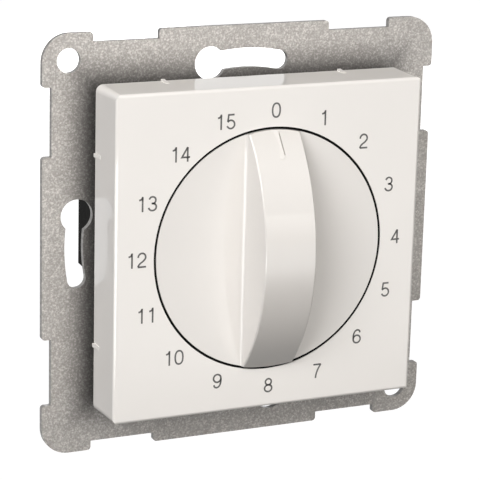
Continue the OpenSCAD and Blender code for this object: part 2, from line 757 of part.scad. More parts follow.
module knob() color([0.93, 0.92, 0.86]) difference() {
    union() {
        difference() {
            union() {
                rod(knob_r, knob_skirt_z, plate_front);
                intersection() {
                    difference() {
                        union() {
                            arch(grip_arch_r, grip_w, grip_edge_r);
                            pointer_ridge();
                        }
                        pointer_groove();
                    }
                    rod(knob_r, knob_under_z + knob_face_t / 2, plate_front + grip_h + join);
                }
                grip_foot();
            }
            rod(knob_r - knob_wall, knob_skirt_z - join, knob_under_z);
            grip_hollow();
        }
        rod(hub_d / 2, hub_z, knob_under_z + join);
    }
    prism(hub_z - join, shaft_top_z + run_gap) shaft_outline(fit_gap, clip_t + 2 * fit_gap);
}

module knob_clip() color([0.7, 0.7, 0.72]) {
    x = shaft_r - shaft_flat + fit_gap;
    translate([x, -clip_w / 2, clip_foot_z]) cube([clip_t, clip_w, shaft_top_z - clip_foot_z]);
    translate([x, -clip_w / 2, clip_foot_z]) cube([hub_d / 2 - x - run_gap, clip_w, clip_t]);
}

module housing_cover() color([0.07, 0.07, 0.07]) difference() {
    union() {
        difference() {
            union() {
                prism(frame_t, flange_z) soft_square(flange_half, flange_corner_r);
                prism(split_z, flange_z - housing_wall / 2) housing_outline(0);
            }
            prism(split_z - join, wall_in_z) housing_outline(housing_wall);
        }
        for (p = boss_places) rod(boss_r, split_z, wall_in_z + housing_wall / 2, p);
    }
    rod(bush_r + fit_gap, wall_in_z - join, flange_z + join);
    for (p = pillar_places) rod(movement_screw_d / 2 + fit_gap, wall_in_z - join, flange_z + join, p);
    for (p = boss_places) rod(housing_screw_d / 2 + fit_gap, split_z - join, wall_in_z - housing_wall / 2, p);
    for (x = [-1, 1], y = [-1, 1])
        rod(frame_screw_d / 2 + fit_gap, frame_t - join, flange_z + join,
            [x * frame_screw_p, y * frame_screw_p]);
    on_sides()
        translate([flange_half - groove_depth, -leg_w / 2 - run_gap, frame_t + (flange_t - groove_h) / 2])
            cube([groove_depth + join, leg_w + 2 * run_gap, groove_h]);
}

module housing_base() color([0.07, 0.07, 0.07]) difference() {
    union() {
        difference() {
            prism(-housing_depth, split_z) housing_outline(0);
            prism(floor_z, split_z + join) housing_outline(housing_wall);
        }
        for (p = boss_places) rod(boss_r, floor_z - housing_wall / 2, split_z, p);
        difference() {
            union() {
                prism(split_z - 2 * lip_len, split_z) housing_outline(housing_wall / 2);
                prism(split_z - lip_len, split_z + lip_len) housing_outline(housing_wall + fit_gap);
            }
            prism(split_z - 3 * lip_len, split_z + 2 * lip_len) housing_outline(housing_wall + lip_t);
            for (p = boss_places) rod(boss_r + fit_gap, split_z, split_z + 2 * lip_len, p);
        }
    }
    for (p = boss_places) {
        rod(housing_screw_d / 2 + fit_gap, -housing_depth - join, split_z + 2 * lip_len, p);
        rod(housing_screw_d / 2 + head_out + fit_gap, -housing_depth - join,
            run_gap + head_h - housing_depth, p);
    }
    for (s = [-1, 1]) {
        rod(wire_d / 2, -housing_depth - join, floor_z + join, [s * wire_x, wire_y]);
        post(driver_hole_d / 2, -housing_half - join, -inner_half + join, s * wire_x, clamp_screw_z);
    }
}

module frame_screws() color([0.75, 0.75, 0.73]) for (x = [-1, 1], y = [-1, 1])
    translate([x * frame_screw_p, y * frame_screw_p, flange_z])
        screw(frame_screw_d / 2, flange_z - fit_gap);

module housing_screws() color([0.75, 0.75, 0.73]) for (p = boss_places)
    translate([p[0], p[1], run_gap + head_h - housing_depth]) rotate([180, 0, 0])
        screw(housing_screw_d / 2, wall_in_z - housing_wall + housing_depth - run_gap - head_h);

module movement_screws() color([0.75, 0.75, 0.73]) for (p = pillar_places)
    translate([p[0], p[1], flange_z])
        screw(movement_screw_d / 2, flange_z - front_plate_z + movement_screw_reach);

// brass disc that clears the housing's screw bosses
module brass_disc(z0) difference() {
    rod(brass_r, z0, z0 + brass_t);
    for (p = boss_places) rod(boss_r + run_gap, z0 - join, z0 + brass_t + join, p);
    for (p = [second_p, third_p, escape_p, pallet_p])
        rod(pivot_r + fit_gap, z0 - join, z0 + brass_t + join, p);
}

module front_plate() color([0.78, 0.62, 0.27]) difference() {
    brass_disc(front_plate_z);
    rod(bush_r + fit_gap / 2, front_plate_z - join, wall_in_z + join);
    rod(spring_post_r + fit_gap / 2, front_plate_z - join, wall_in_z + join, spring_post_place());
    for (p = pillar_places) rod(movement_screw_d / 2 + fit_gap, front_plate_z - join, wall_in_z + join, p);
}

module rear_plate() color([0.78, 0.62, 0.27]) difference() {
    brass_disc(rear_plate_z);
    rod(tail_r + fit_gap, rear_plate_z - join, rear_plate_z1 + join);
    rod(stop_pin_r + fit_gap / 2, rear_plate_z - join, rear_plate_z1 + join, [0, stop_r]);
    for (p = pillar_places) rod(stud_r + fit_gap, rear_plate_z - join, rear_plate_z1 + join, p);
}

module pillars() color([0.72, 0.72, 0.72]) for (p = pillar_places) difference() {
    union() {
        rod(pillar_r, rear_plate_z1, front_plate_z, p);
        rod(stud_r, rear_plate_z - nut_h - fit_gap, rear_plate_z1 + join, p);
    }
    rod(movement_screw_d / 2 + fit_gap / 2, front_plate_z - movement_screw_reach - run_gap,
        front_plate_z + join, p);
}

module pillar_nuts() color([0.78, 0.62, 0.27]) for (p = pillar_places) difference() {
    translate([p[0], p[1], rear_plate_z - nut_h]) cylinder(r = nut_r, h = nut_h, $fn = 6);
    rod(stud_r + fit_gap / 2, rear_plate_z - nut_h - join, rear_plate_z + join, p);
}

module arbor_bush() color([0.78, 0.62, 0.27]) difference() {
    union() {
        rod(bush_r, front_plate_z, bush_top_z);
        rod(bush_r + bush_flange_out, flange_z, bush_top_z);
    }
    rod(shaft_r + fit_gap, front_plate_z - join, bush_top_z + join);
}

module main_arbor() color([0.72, 0.72, 0.72]) {
    rod(shaft_r, main_z1, bush_top_z);
    prism(bush_top_z - join, shaft_top_z) shaft_outline(0, 0);
    rod(seat_r, collar_z0, main_z1 + join);
    difference() {
        rod(tail_r, tail_z0, collar_z0 + join);
        translate([tail_r - tail_flat, -2 * tail_r, tail_z0 - join])
            cube([2 * tail_r, 4 * tail_r, cam_z1 - tail_z0 + join]);
        difference() {
            rod(2 * tail_r, clip_z0, clip_z1);
            rod(tail_r - cam_clip_groove, clip_z0 - join, clip_z1 + join);
        }
    }
}

// toothed wheel with a bore and four round windows
module wheel(z, bore, z0, z1, p) translate([p[0], p[1], 0]) prism(z0, z1) difference() {
    polygon(gear_points(z));
    circle(bore);
    rim = gear_module * (z / 2 - 2 * dedendum);
    window = (rim - bore) / 4;
    for (a = [45:90:315]) translate(polar((rim + bore) / 2, a)) circle(window);
}

// thin arbor with its pivots and its pinion
module thin_arbor(p, phase, z0, z1) translate([p[0], p[1], 0]) {
    rod(pivot_r, rear_plate_z + fit_gap, front_plate_z + brass_t - fit_gap);
    rod(arbor_r, rear_plate_z1 + endshake, front_plate_z - endshake);
    if (z1 > z0) rotate([0, 0, phase]) prism(z0, z1) polygon(gear_points(pinion_teeth));
}

module main_wheel() color([0.78, 0.62, 0.27])
    wheel(main_teeth, seat_r + fit_gap / 2, main_z0, main_z1, [0, 0]);

module clutch_washer() color([0.7, 0.7, 0.72]) rotate_extrude() polygon([
    [seat_r + fit_gap, washer_z0], [washer_r, main_z0 - washer_t],
    [washer_r, main_z0], [seat_r + fit_gap, washer_z0 + washer_t]]);

module clutch_collar() color([0.72, 0.72, 0.72]) difference() {
    rod(collar_r, collar_z0, washer_z0);
    rod(seat_r + fit_gap / 2, collar_z0 - join, washer_z0 + join);
}

module mainspring() color([0.35, 0.4, 0.5])
    prism(spring_z0, spring_z1) polygon(strip(spring_path(), spring_t));

// place of the post, just outside the end of the spring
function spring_post_place() = polar(spring_out_r + spring_t + spring_post_r, spring_post_dir);

module spring_post() color([0.72, 0.72, 0.72])
    rod(spring_post_r, spring_z0, wall_in_z - fit_gap, spring_post_place());

module switch_cam() color([0.85, 0.83, 0.75]) difference() {
    union() {
        prism(cam_z0, cam_z1) difference() {
            circle(cam_r);
            polygon([
                [-cam_notch_w / 2, -cam_r - cam_notch], [cam_notch_w / 2, -cam_r - cam_notch],
                [leaf_nose_half + 2 * run_gap, cam_notch - cam_r],
                [-leaf_nose_half - 2 * run_gap, cam_notch - cam_r]]);
        }
        rotate([0, 0, -stop_angle]) translate([-stop_lug_half, 0, cam_z1 - join])
            cube([2 * stop_lug_half, stop_r + stop_pin_r, lug_z1 - cam_z1 + join]);
        rod(tail_r + 2 * join, cam_z1 - join, lug_z1);
    }
    prism(cam_z0 - join, lug_z1 + join) intersection() {
        circle(tail_r + fit_gap);
        translate([-2 * tail_r, -2 * tail_r]) square([3 * tail_r - tail_flat + fit_gap, 4 * tail_r]);
    }
    rod(tail_r + 2 * fit_gap, cam_z1, lug_z1 + join);
}

module cam_clip() color([0.7, 0.7, 0.72]) difference() {
    rod(tail_r + 2 * join, clip_z0, clip_z1);
    rod(tail_r - cam_clip_groove + fit_gap, clip_z0 - join, clip_z1 + join);
    translate([0, cam_clip_groove - tail_r, clip_z0 - join])
        cube([3 * tail_r, 2 * (tail_r - cam_clip_groove), 3 * join]);
}

module stop_pin() color([0.72, 0.72, 0.72])
    rod(stop_pin_r, cam_z1 + run_gap / 2, rear_plate_z1 - fit_gap, [0, stop_r]);

module second_arbor() color([0.72, 0.72, 0.72])
    thin_arbor(second_p, second_phase, main_z0 - pinion_over, main_z1 + pinion_over);

module second_wheel() color([0.78, 0.62, 0.27])
    wheel(wheel_teeth, arbor_r + fit_gap / 2, second_z0, second_z1, second_p);

module third_arbor() color([0.72, 0.72, 0.72])
    thin_arbor(third_p, third_phase, second_z0 - pinion_over, second_z1 + pinion_over);

module third_wheel() color([0.78, 0.62, 0.27])
    wheel(wheel_teeth, arbor_r + fit_gap / 2, third_z0, third_z1, third_p);

module escape_arbor() color([0.72, 0.72, 0.72])
    thin_arbor(escape_p, escape_phase, third_z0 - pinion_over, third_z1 + pinion_over);

module escape_wheel() color([0.78, 0.62, 0.27])
    translate([escape_p[0], escape_p[1], 0]) rotate([0, 0, pallet_dir])
        prism(second_z0, second_z1) difference() {
            polygon(escape_points());
            circle(arbor_r + fit_gap / 2);
        }

module pallet_arbor() color([0.72, 0.72, 0.72]) thin_arbor(pallet_p, 0, 0, 0);

// flat arm between two points
module arm(a, b, half) translate(a) rotate(atan2(b[1] - a[1], b[0] - a[0]))
    translate([0, -half]) square([norm(b - a), 2 * half]);

module pallet_lever() color([0.78, 0.62, 0.27]) prism(pallet_z0, pallet_z1) difference() {
    union() {
        translate(pallet_p) circle(pallet_hub_r);
        for (p = pallet_pins_p) {
            translate(p) circle(pallet_arm_half + pallet_pin_r / 2);
            arm(pallet_p, p, pallet_arm_half);
        }
    }
    translate(pallet_p) circle(arbor_r + fit_gap / 2);
    for (p = pallet_pins_p) translate(p) circle(pallet_pin_r + fit_gap / 2);
}

module pallet_pins() color([0.72, 0.72, 0.72])
    for (p = pallet_pins_p) rod(pallet_pin_r, second_z0, pallet_z1, p);

module contact_leaf() color([0.75, 0.5, 0.3]) difference() {
    prism(leaf_z0, leaf_z1) polygon(strip(leaf_path(), leaf_t));
    post(contact_shank_r + fit_gap / 2, leaf_mid_y - leaf_t, leaf_mid_y + leaf_t, -wire_x, leaf_mid_z);
}

module moving_contact() color([0.85, 0.85, 0.85]) {
    low = leaf_top_y - leaf_t;
    post(contact_r, low - contact_h, low, -wire_x, leaf_mid_z);
    post(contact_shank_r, low - contact_h / 2, leaf_top_y + leaf_t / 2, -wire_x, leaf_mid_z);
    post(contact_shank_r + leaf_t, leaf_top_y, leaf_top_y + leaf_t, -wire_x, leaf_mid_z);
}

module fixed_contact() color([0.85, 0.85, 0.85])
    post(contact_r, clamp_top_y, leaf_top_y - leaf_t - contact_h - contact_gap, -wire_x, leaf_mid_z);

module terminal_clamps() color([0.78, 0.62, 0.27]) for (s = [-1, 1]) difference() {
    translate([s * wire_x - clamp_w / 2, clamp_y0, floor_z]) cube([clamp_w, clamp_h, clamp_z1 - floor_z]);
    rod(wire_d / 2, floor_z - join, floor_z + clamp_hole_depth, [s * wire_x, wire_y]);
    post(terminal_screw_d / 2 + fit_gap / 2, clamp_y0 - join, wire_y, s * wire_x, clamp_screw_z);
}

module terminal_screws() color([0.75, 0.75, 0.73]) for (s = [-1, 1])
    translate([s * wire_x, clamp_y0, clamp_screw_z]) rotate([90, 0, 0])
        screw(terminal_screw_d / 2, clamp_foot - wire_d / 2 - fit_gap);

stand() mounting_frame();
stand() central_plate();
stand() guide_ring();
stand() knob();
stand() knob_clip();
stand() housing_cover();
stand() housing_base();
stand() frame_screws();
stand() housing_screws();
stand() movement_screws();
stand() front_plate();
stand() rear_plate();
stand() pillars();
stand() pillar_nuts();
stand() arbor_bush();
stand() main_arbor();
stand() main_wheel();
stand() clutch_washer();
stand() clutch_collar();
stand() mainspring();
stand() spring_post();
stand() switch_cam();
stand() cam_clip();
stand() stop_pin();
stand() second_arbor();
stand() second_wheel();
stand() third_arbor();
stand() third_wheel();
stand() escape_arbor();
stand() escape_wheel();
stand() pallet_arbor();
stand() pallet_lever();
stand() pallet_pins();
stand() contact_leaf();
stand() moving_contact();
stand() fixed_contact();
stand() terminal_clamps();
stand() terminal_screws();
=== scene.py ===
import math

import bmesh
import bpy
from mathutils import Matrix, Vector


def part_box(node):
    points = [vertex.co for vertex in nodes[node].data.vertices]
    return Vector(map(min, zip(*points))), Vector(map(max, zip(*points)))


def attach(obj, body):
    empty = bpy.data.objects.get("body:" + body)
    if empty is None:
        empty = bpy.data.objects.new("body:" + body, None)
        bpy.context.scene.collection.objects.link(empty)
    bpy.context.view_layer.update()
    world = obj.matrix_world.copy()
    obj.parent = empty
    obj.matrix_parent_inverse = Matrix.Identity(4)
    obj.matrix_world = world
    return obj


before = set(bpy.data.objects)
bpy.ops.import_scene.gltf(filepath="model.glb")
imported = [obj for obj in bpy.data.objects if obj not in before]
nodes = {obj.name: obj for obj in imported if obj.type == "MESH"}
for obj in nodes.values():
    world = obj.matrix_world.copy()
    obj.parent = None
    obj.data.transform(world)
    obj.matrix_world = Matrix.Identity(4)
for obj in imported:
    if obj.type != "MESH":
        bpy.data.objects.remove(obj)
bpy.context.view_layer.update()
scene = bpy.context.scene
MM = 0.001


# Node helpers for the materials

def maths(tree, kind, a, b):
    """Math node on two sockets or numbers."""
    n = tree.nodes.new("ShaderNodeMath")
    n.operation = kind
    for socket, value in zip(n.inputs, (a, b)):
        if isinstance(value, (int, float)):
            socket.default_value = value
        else:
            tree.links.new(value, socket)
    return n.outputs[0]


def ramped(tree, value, low, high):
    """0 at low, 1 at high, smooth between and level outside."""
    n = tree.nodes.new("ShaderNodeMapRange")
    n.interpolation_type = "SMOOTHSTEP"
    n.inputs["From Min"].default_value = low
    n.inputs["From Max"].default_value = high
    tree.links.new(value, n.inputs["Value"])
    return n.outputs["Result"]


class Shader:
    """A principled material with short calls for the nodes that feed it."""

    def __init__(self, name, **sockets):
        self.material = bpy.data.materials.new(name)
        self.material.use_nodes = True
        self.tree = self.material.node_tree
        self.tree.nodes.clear()
        self.bsdf = self.node("ShaderNodeBsdfPrincipled")
        out = self.node("ShaderNodeOutputMaterial")
        self.link(self.bsdf.outputs["BSDF"], out.inputs["Surface"])
        for key, value in sockets.items():
            self.bsdf.inputs[key.replace("_", " ")].default_value = value
        self.place = self.node("ShaderNodeTexCoord").outputs["Object"]

    def node(self, kind):
        return self.tree.nodes.new(kind)

    def link(self, a, b):
        self.tree.links.new(a, b)

    def stretched(self, x, y, z):
        """Places scaled along each axis, for grain."""
        n = self.node("ShaderNodeMapping")
        n.inputs["Scale"].default_value = (x, y, z)
        self.link(self.place, n.inputs["Vector"])
        return n.outputs["Vector"]

    def noise(self, per_metre, detail=3.0, rough=0.55, vector=None):
        n = self.node("ShaderNodeTexNoise")
        n.inputs["Scale"].default_value = per_metre
        n.inputs["Detail"].default_value = detail
        n.inputs["Roughness"].default_value = rough
        self.link(vector or self.place, n.inputs["Vector"])
        return n.outputs["Fac"]

    def ramp(self, fac, *stops):
        """Colours between stops, each a place and a colour."""
        n = self.node("ShaderNodeValToRGB")
        e = n.color_ramp.elements
        while len(e) < len(stops):
            e.new(0.5)
        for i, (at, colour) in enumerate(stops):
            e[i].position = at
            e[i].color = (*colour, 1.0)
        self.link(fac, n.inputs["Fac"])
        return n.outputs["Color"]

    def spread(self, fac, low, high, start=0.3, stop=0.7):
        """A value that runs from low to high while fac runs from start to stop."""
        n = self.node("ShaderNodeMapRange")
        n.inputs["From Min"].default_value = start
        n.inputs["From Max"].default_value = stop
        n.inputs["To Min"].default_value = low
        n.inputs["To Max"].default_value = high
        self.link(fac, n.inputs["Value"])
        return n.outputs["Result"]

    def blend(self, a, b, share, mode="MIX"):
        n = self.node("ShaderNodeMix")
        n.data_type = "RGBA"
        n.blend_type = mode
        if isinstance(share, float):
            n.inputs["Factor"].default_value = share
        else:
            self.link(share, n.inputs["Factor"])
        self.link(a, n.inputs["A"])
        self.link(b, n.inputs["B"])
        return n.outputs["Result"]

    def colour(self, socket):
        self.link(socket, self.bsdf.inputs["Base Color"])

    def roughness(self, socket):
        self.link(socket, self.bsdf.inputs["Roughness"])

    def bump(self, height, depth, strength=1.0):
        """Fine relief of the surface, with its depth in metres."""
        n = self.node("ShaderNodeBump")
        n.inputs["Strength"].default_value = strength
        n.inputs["Distance"].default_value = depth
        self.link(height, n.inputs["Height"])
        self.link(n.outputs["Normal"], self.bsdf.inputs["Normal"])


def grey(v, warm=0.0):
    """Grey of a level, with less green and still less blue the warmer it is."""
    return (v, v * (1.0 - warm), v * (1.0 - 2.0 * warm))


# Share of the zinc's colour that is left in the painted shade beside the plate, and where that shade starts
# and ends from the middle
SHADE_LEFT = 0.22
SHADE_FROM, SHADE_TO = 0.0255, 0.0330
# Parts of the sheet's normal along Y: where the painted shade fades out past the front face, and where a cut
# edge turns into a face
WALL_SIDE = (-0.75, -0.45)
CUT_TO_FACE = (0.45, 0.75)


def zinc_sheet():
    """Spangled zinc on both faces, darkened on its front face beside the plate by painted shade, and bare
    dark steel where the sheet was cut.
    """
    s = Shader("zinc_sheet", Metallic=0.55)
    speck = s.ramp(s.noise(3400, 2.0, 0.6), (0.36, grey(0.30, 0.05)), (0.49, grey(0.39, 0.05)),
                   (0.57, grey(0.48, 0.045)), (0.67, grey(0.70, 0.04)))
    cloud = s.ramp(s.noise(420, 3.0), (0.30, grey(0.36, 0.06)), (0.70, grey(0.49, 0.05)))
    face = s.blend(speck, cloud, 0.3)
    streaks = s.noise(1800, 2.0, 0.5, s.stretched(1.0, 0.12, 1.0))
    steel = s.ramp(streaks, (0.3, grey(0.21, 0.03)), (0.7, grey(0.36, 0.03)))
    normal = s.node("ShaderNodeSeparateXYZ")
    s.link(s.node("ShaderNodeTexCoord").outputs["Normal"], normal.inputs[0])
    where = s.node("ShaderNodeSeparateXYZ")
    s.link(s.place, where.inputs[0])
    across, upward = (maths(s.tree, "ABSOLUTE", where.outputs[axis], 0.0) for axis in "XZ")
    # Painted shade: the zinc's colour darkens on the front face towards the plate's outline.
    beside = ramped(s.tree, maths(s.tree, "MAXIMUM", across, upward), SHADE_FROM, SHADE_TO)
    behind = ramped(s.tree, normal.outputs["Y"], *WALL_SIDE)
    shade_free = maths(s.tree, "MAXIMUM", beside, behind)
    painted_shade = maths(s.tree, "ADD", maths(s.tree, "MULTIPLY", shade_free, 1.0 - SHADE_LEFT), SHADE_LEFT)
    face = s.blend(face, painted_shade, 1.0, "MULTIPLY")
    flat = maths(s.tree, "ABSOLUTE", normal.outputs["Y"], 0.0)
    s.colour(s.blend(steel, face, ramped(s.tree, flat, *CUT_TO_FACE)))
    s.roughness(s.spread(s.noise(1500, 3.0), 0.40, 0.58))
    s.bump(s.noise(3000, 3.0), 0.00003, 0.5)
    return s.material


def white_plastic(name, light, warm):
    s = Shader(name, IOR=1.58)
    s.colour(s.ramp(s.noise(60, 2.0), (0.3, grey(light - 0.008, warm)), (0.7, grey(light + 0.008, warm))))
    s.roughness(s.spread(s.noise(900, 4.0), 0.025, 0.05))
    s.bump(s.noise(1400, 2.0), 0.0000006, 0.5)
    return s.material


def black_plastic():
    s = Shader("black_plastic", IOR=1.4, Specular_IOR_Level=0.06)
    s.colour(s.ramp(s.noise(500, 3.0), (0.3, grey(0.008, 0.05)), (0.7, grey(0.014, 0.05))))
    s.roughness(s.spread(s.noise(2600, 4.0), 0.60, 0.75))
    s.bump(s.noise(5200, 3.0), 0.00002, 0.5)
    return s.material


def black_ring():
    s = Shader("black_ring", IOR=1.4, Specular_IOR_Level=0.1)
    # The ring's near-black colour is painted shade: a dark ring stands where the gap around the knob shows
    # dark.
    s.colour(s.ramp(s.noise(800, 3.0), (0.3, grey(0.003, 0.05)), (0.7, grey(0.006, 0.05))))
    s.roughness(s.spread(s.noise(2600, 4.0), 0.55, 0.70))
    s.bump(s.noise(5200, 3.0), 0.00001, 0.5)
    return s.material


def metal(name, dark, light, rough, grain=(1.0, 1.0, 1.0), scale=900, depth=0.000004):
    s = Shader(name, Metallic=1.0)
    where = s.stretched(*grain)
    s.colour(s.ramp(s.noise(scale, 4.0, 0.6, where), (0.3, dark), (0.7, light)))
    s.roughness(s.spread(s.noise(scale * 1.7, 3.0, 0.55, where), rough - 0.06, rough + 0.08))
    s.bump(s.noise(scale * 3.0, 3.0, 0.55, where), depth, 0.5)
    return s.material


def cam_plastic():
    s = Shader("cam_plastic", IOR=1.5)
    s.colour(s.ramp(s.noise(180, 3.0), (0.3, (0.62, 0.58, 0.47)), (0.7, (0.70, 0.66, 0.55))))
    s.roughness(s.spread(s.noise(1200, 3.0), 0.40, 0.55))
    s.bump(s.noise(3000, 2.0), 0.000006, 0.5)
    return s.material


def dial_ink():
    s = Shader("dial_ink")
    s.colour(s.ramp(s.noise(4000, 3.0), (0.3, grey(0.085, 0.03)), (0.7, grey(0.125, 0.03))))
    s.roughness(s.spread(s.noise(3000, 2.0), 0.45, 0.6))
    s.bump(s.noise(9000, 2.0), 0.000004, 0.5)
    return s.material


zinc = zinc_sheet()
plate_white = white_plastic("plate_plastic", 0.83, 0.034)
# The knob's white is the plate's plastic made darker: painted shade that dims the whole knob.
knob_white = white_plastic("knob_plastic", 0.75, 0.036)
black = black_plastic()
ring = black_ring()
ink = dial_ink()
plated = metal("plated_screws", grey(0.50, 0.02), grey(0.66, 0.01), 0.30, scale=1400)
brass = metal("brass", (0.60, 0.42, 0.15), (0.74, 0.55, 0.22), 0.26, grain=(1.0, 1.0, 0.15))
steel = metal("bright_steel", grey(0.48, 0.01), grey(0.60, 0.01), 0.24, grain=(1.0, 0.2, 1.0))
spring = metal("spring_steel", (0.17, 0.19, 0.25), (0.28, 0.31, 0.39), 0.28, grain=(1.0, 0.2, 1.0))
bronze = metal("bronze_strip", (0.52, 0.30, 0.16), (0.64, 0.39, 0.22), 0.30, grain=(0.2, 1.0, 1.0))
silver = metal("silver_contact", grey(0.72, 0.01), grey(0.84, 0.01), 0.34)
cam_white = cam_plastic()

FINISH = {
    "mounting_frame": zinc, "central_plate": plate_white, "knob": knob_white, "guide_ring": ring,
    "housing_cover": black, "housing_base": black,
    "frame_screws": plated, "housing_screws": plated, "movement_screws": plated, "terminal_screws": plated,
    "front_plate": brass, "rear_plate": brass, "pillar_nuts": brass, "arbor_bush": brass,
    "main_wheel": brass, "second_wheel": brass, "third_wheel": brass, "escape_wheel": brass,
    "pallet_lever": brass, "terminal_clamps": brass,
    "pillars": steel, "main_arbor": steel, "clutch_collar": steel, "spring_post": steel, "stop_pin": steel,
    "second_arbor": steel, "third_arbor": steel, "escape_arbor": steel, "pallet_arbor": steel,
    "pallet_pins": steel, "mainspring": spring, "clutch_washer": spring, "cam_clip": spring,
    "knob_clip": spring, "contact_leaf": bronze, "moving_contact": silver, "fixed_contact": silver,
    "switch_cam": cam_white,
}
for node, obj in nodes.items():
    obj.data.materials.clear()
    obj.data.materials.append(FINISH[node])


# Printed numbers of the scale, drawn as flat strokes

# Height, line width, step between two figures and half the thickness of the ink, in millimetres
DIGIT_H = 2.52
STROKE = 0.29
DIGIT_STEP = 1.87
INK_HALF = 0.012
# Middle of each number from the knob's axis, across and up in millimetres
PLACES = [(0.5, 23.3), (9.2, 21.5), (16.7, 17.1), (21.8, 9.4),
          (23.4, 0.2), (22.0, -9.0), (16.9, -16.8), (9.6, -22.1),
          (0.5, -23.6), (-8.9, -21.8), (-16.6, -16.9), (-21.8, -9.2),
          (-23.4, 0.2), (-21.7, 9.4), (-16.1, 17.1), (-8.3, 21.9)]
# Least share of a half angle that widens a corner of a stroke
CORNER_MIN = 0.35
PLATE_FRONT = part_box("central_plate")[0].y / MM


def arc(cx, cy, rx, ry, a0, a1, n=22, power=1.0):
    """Points of an oval arc between two angles, squarer with a power below 1."""
    pts = []
    for i in range(n + 1):
        a = math.radians(a0 + (a1 - a0) * i / n)
        c, s = math.cos(a), math.sin(a)
        x, y = (math.copysign(abs(v) ** power, v) for v in (c, s))
        pts.append((cx + rx * x, cy + ry * y))
    return pts


def curve(points, n=6):
    """Smooth line through the points."""
    out = []
    p = [points[0]] + list(points) + [points[-1]]
    for i in range(1, len(p) - 2):
        for k in range(n):
            t = k / n
            out.append(tuple(0.5 * (2 * p[i][j] + (p[i + 1][j] - p[i - 1][j]) * t
                                    + (2 * p[i - 1][j] - 5 * p[i][j] + 4 * p[i + 1][j] - p[i + 2][j]) * t * t
                                    + (3 * p[i][j] - p[i - 1][j] - 3 * p[i + 1][j] + p[i + 2][j]) * t ** 3)
                             for j in (0, 1)))
    return out + [points[-1]]


# Lines of each figure in shares of its height, across from its middle and up from its foot
SIX = [arc(0.0, 0.315, 0.265, 0.265, 0, 360, 32),
       curve([(0.235, 0.76), (0.17, 0.90), (0.03, 0.95), (-0.12, 0.89), (-0.22, 0.73), (-0.263, 0.50),
              (-0.265, 0.315)])]
GLYPHS = {
    "0": [arc(0.0, 0.5, 0.268, 0.45, 0, 360, 40, 0.86)],
    "1": [[(0.06, 0.0), (0.06, 1.0)], curve([(-0.18, 0.775), (-0.08, 0.79), (0.01, 0.85), (0.05, 0.95)])],
    "2": [arc(0.0, 0.695, 0.255, 0.255, 185, -22, 22) + curve(
        [(0.205, 0.55), (0.08, 0.42), (-0.10, 0.30), (-0.215, 0.18), (-0.265, 0.05)])[1:],
        [(-0.275, 0.05), (0.285, 0.05)]],
    "3": [arc(-0.005, 0.725, 0.225, 0.225, 165, -75, 20) + [(-0.06, 0.508)],
          [(-0.06, 0.508)] + arc(-0.005, 0.285, 0.262, 0.235, 85, -172, 24)],
    "4": [[(0.12, 0.0), (0.12, 0.95)], [(0.12, 0.95), (-0.275, 0.295), (0.285, 0.295)]],
    "5": [[(0.235, 0.95), (-0.165, 0.95), (-0.225, 0.49)],
          [(-0.225, 0.49)] + arc(-0.01, 0.32, 0.265, 0.27, 140, -160, 26)],
    "6": SIX,
    "7": [[(-0.265, 0.95), (0.275, 0.95)],
          curve([(0.275, 0.95), (0.10, 0.66), (0.0, 0.42), (-0.06, 0.2), (-0.085, 0.0)])],
    "8": [arc(0.0, 0.735, 0.215, 0.215, 0, 360, 28), arc(0.0, 0.285, 0.262, 0.235, 0, 360, 32)],
    "9": [[(-x, 1.0 - y) for x, y in line] for line in SIX],
}


def stroke(bm, line, half, thick):
    """Flat band of constant width along a line, standing a hair out of the plate."""
    closed = math.dist(line[0], line[-1]) < 1e-6
    pts = [Vector(p) for p in (line[:-1] if closed else line)]
    n = len(pts)
    left, right = [], []
    for i, p in enumerate(pts):
        a = pts[i - 1] if (closed or i) else p
        b = pts[(i + 1) % n] if (closed or i < n - 1) else p
        d0 = (p - a).normalized() if (p - a).length else (b - p).normalized()
        d1 = (b - p).normalized() if (b - p).length else d0
        m = (d0 + d1).normalized()
        side = Vector((-m.y, m.x)) * (half / max(CORNER_MIN, m.dot(d1)))
        left.append(p + side)
        right.append(p - side)
    rows = [[bm.verts.new((q.x, y, q.y)) for q in edge] for edge, y in
            ((left, -thick), (right, -thick), (left, thick), (right, thick))]
    count = n if closed else n - 1
    for i in range(count):
        j = (i + 1) % n
        for a, b in ((0, 1), (3, 2), (2, 0), (1, 3)):
            bm.faces.new((rows[a][i], rows[b][i], rows[b][j], rows[a][j]))
    if not closed:
        for i in (0, n - 1):
            bm.faces.new((rows[0][i], rows[1][i], rows[3][i], rows[2][i]))


def number(value):
    """Number of the scale at its place on the plate's front."""
    bm = bmesh.new()
    text = str(value)
    for k, ch in enumerate(text):
        shift = (k - (len(text) - 1) / 2) * DIGIT_STEP
        for line in GLYPHS[ch]:
            stroke(bm, [(x * DIGIT_H + shift, y * DIGIT_H) for x, y in line], STROKE / 2, INK_HALF)
    lo = [min(v.co[i] for v in bm.verts) for i in (0, 2)]
    hi = [max(v.co[i] for v in bm.verts) for i in (0, 2)]
    x, z = PLACES[value]
    at = Vector((x - (lo[0] + hi[0]) / 2, PLATE_FRONT, z - (lo[1] + hi[1]) / 2))
    bmesh.ops.recalc_face_normals(bm, faces=bm.faces)
    bmesh.ops.transform(bm, matrix=Matrix.Scale(MM, 4) @ Matrix.Translation(at), verts=bm.verts)
    mesh = bpy.data.meshes.new("scale_number_%02d" % value)
    bm.to_mesh(mesh)
    bm.free()
    obj = bpy.data.objects.new(mesh.name, mesh)
    scene.collection.objects.link(obj)
    mesh.materials.append(ink)
    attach(obj, "insert")


for value in range(len(PLACES)):
    number(value)


# Floor, world and lamps

WHITE = (1.0, 1.0, 1.0)
WARM = (1.0, 0.967, 0.918)
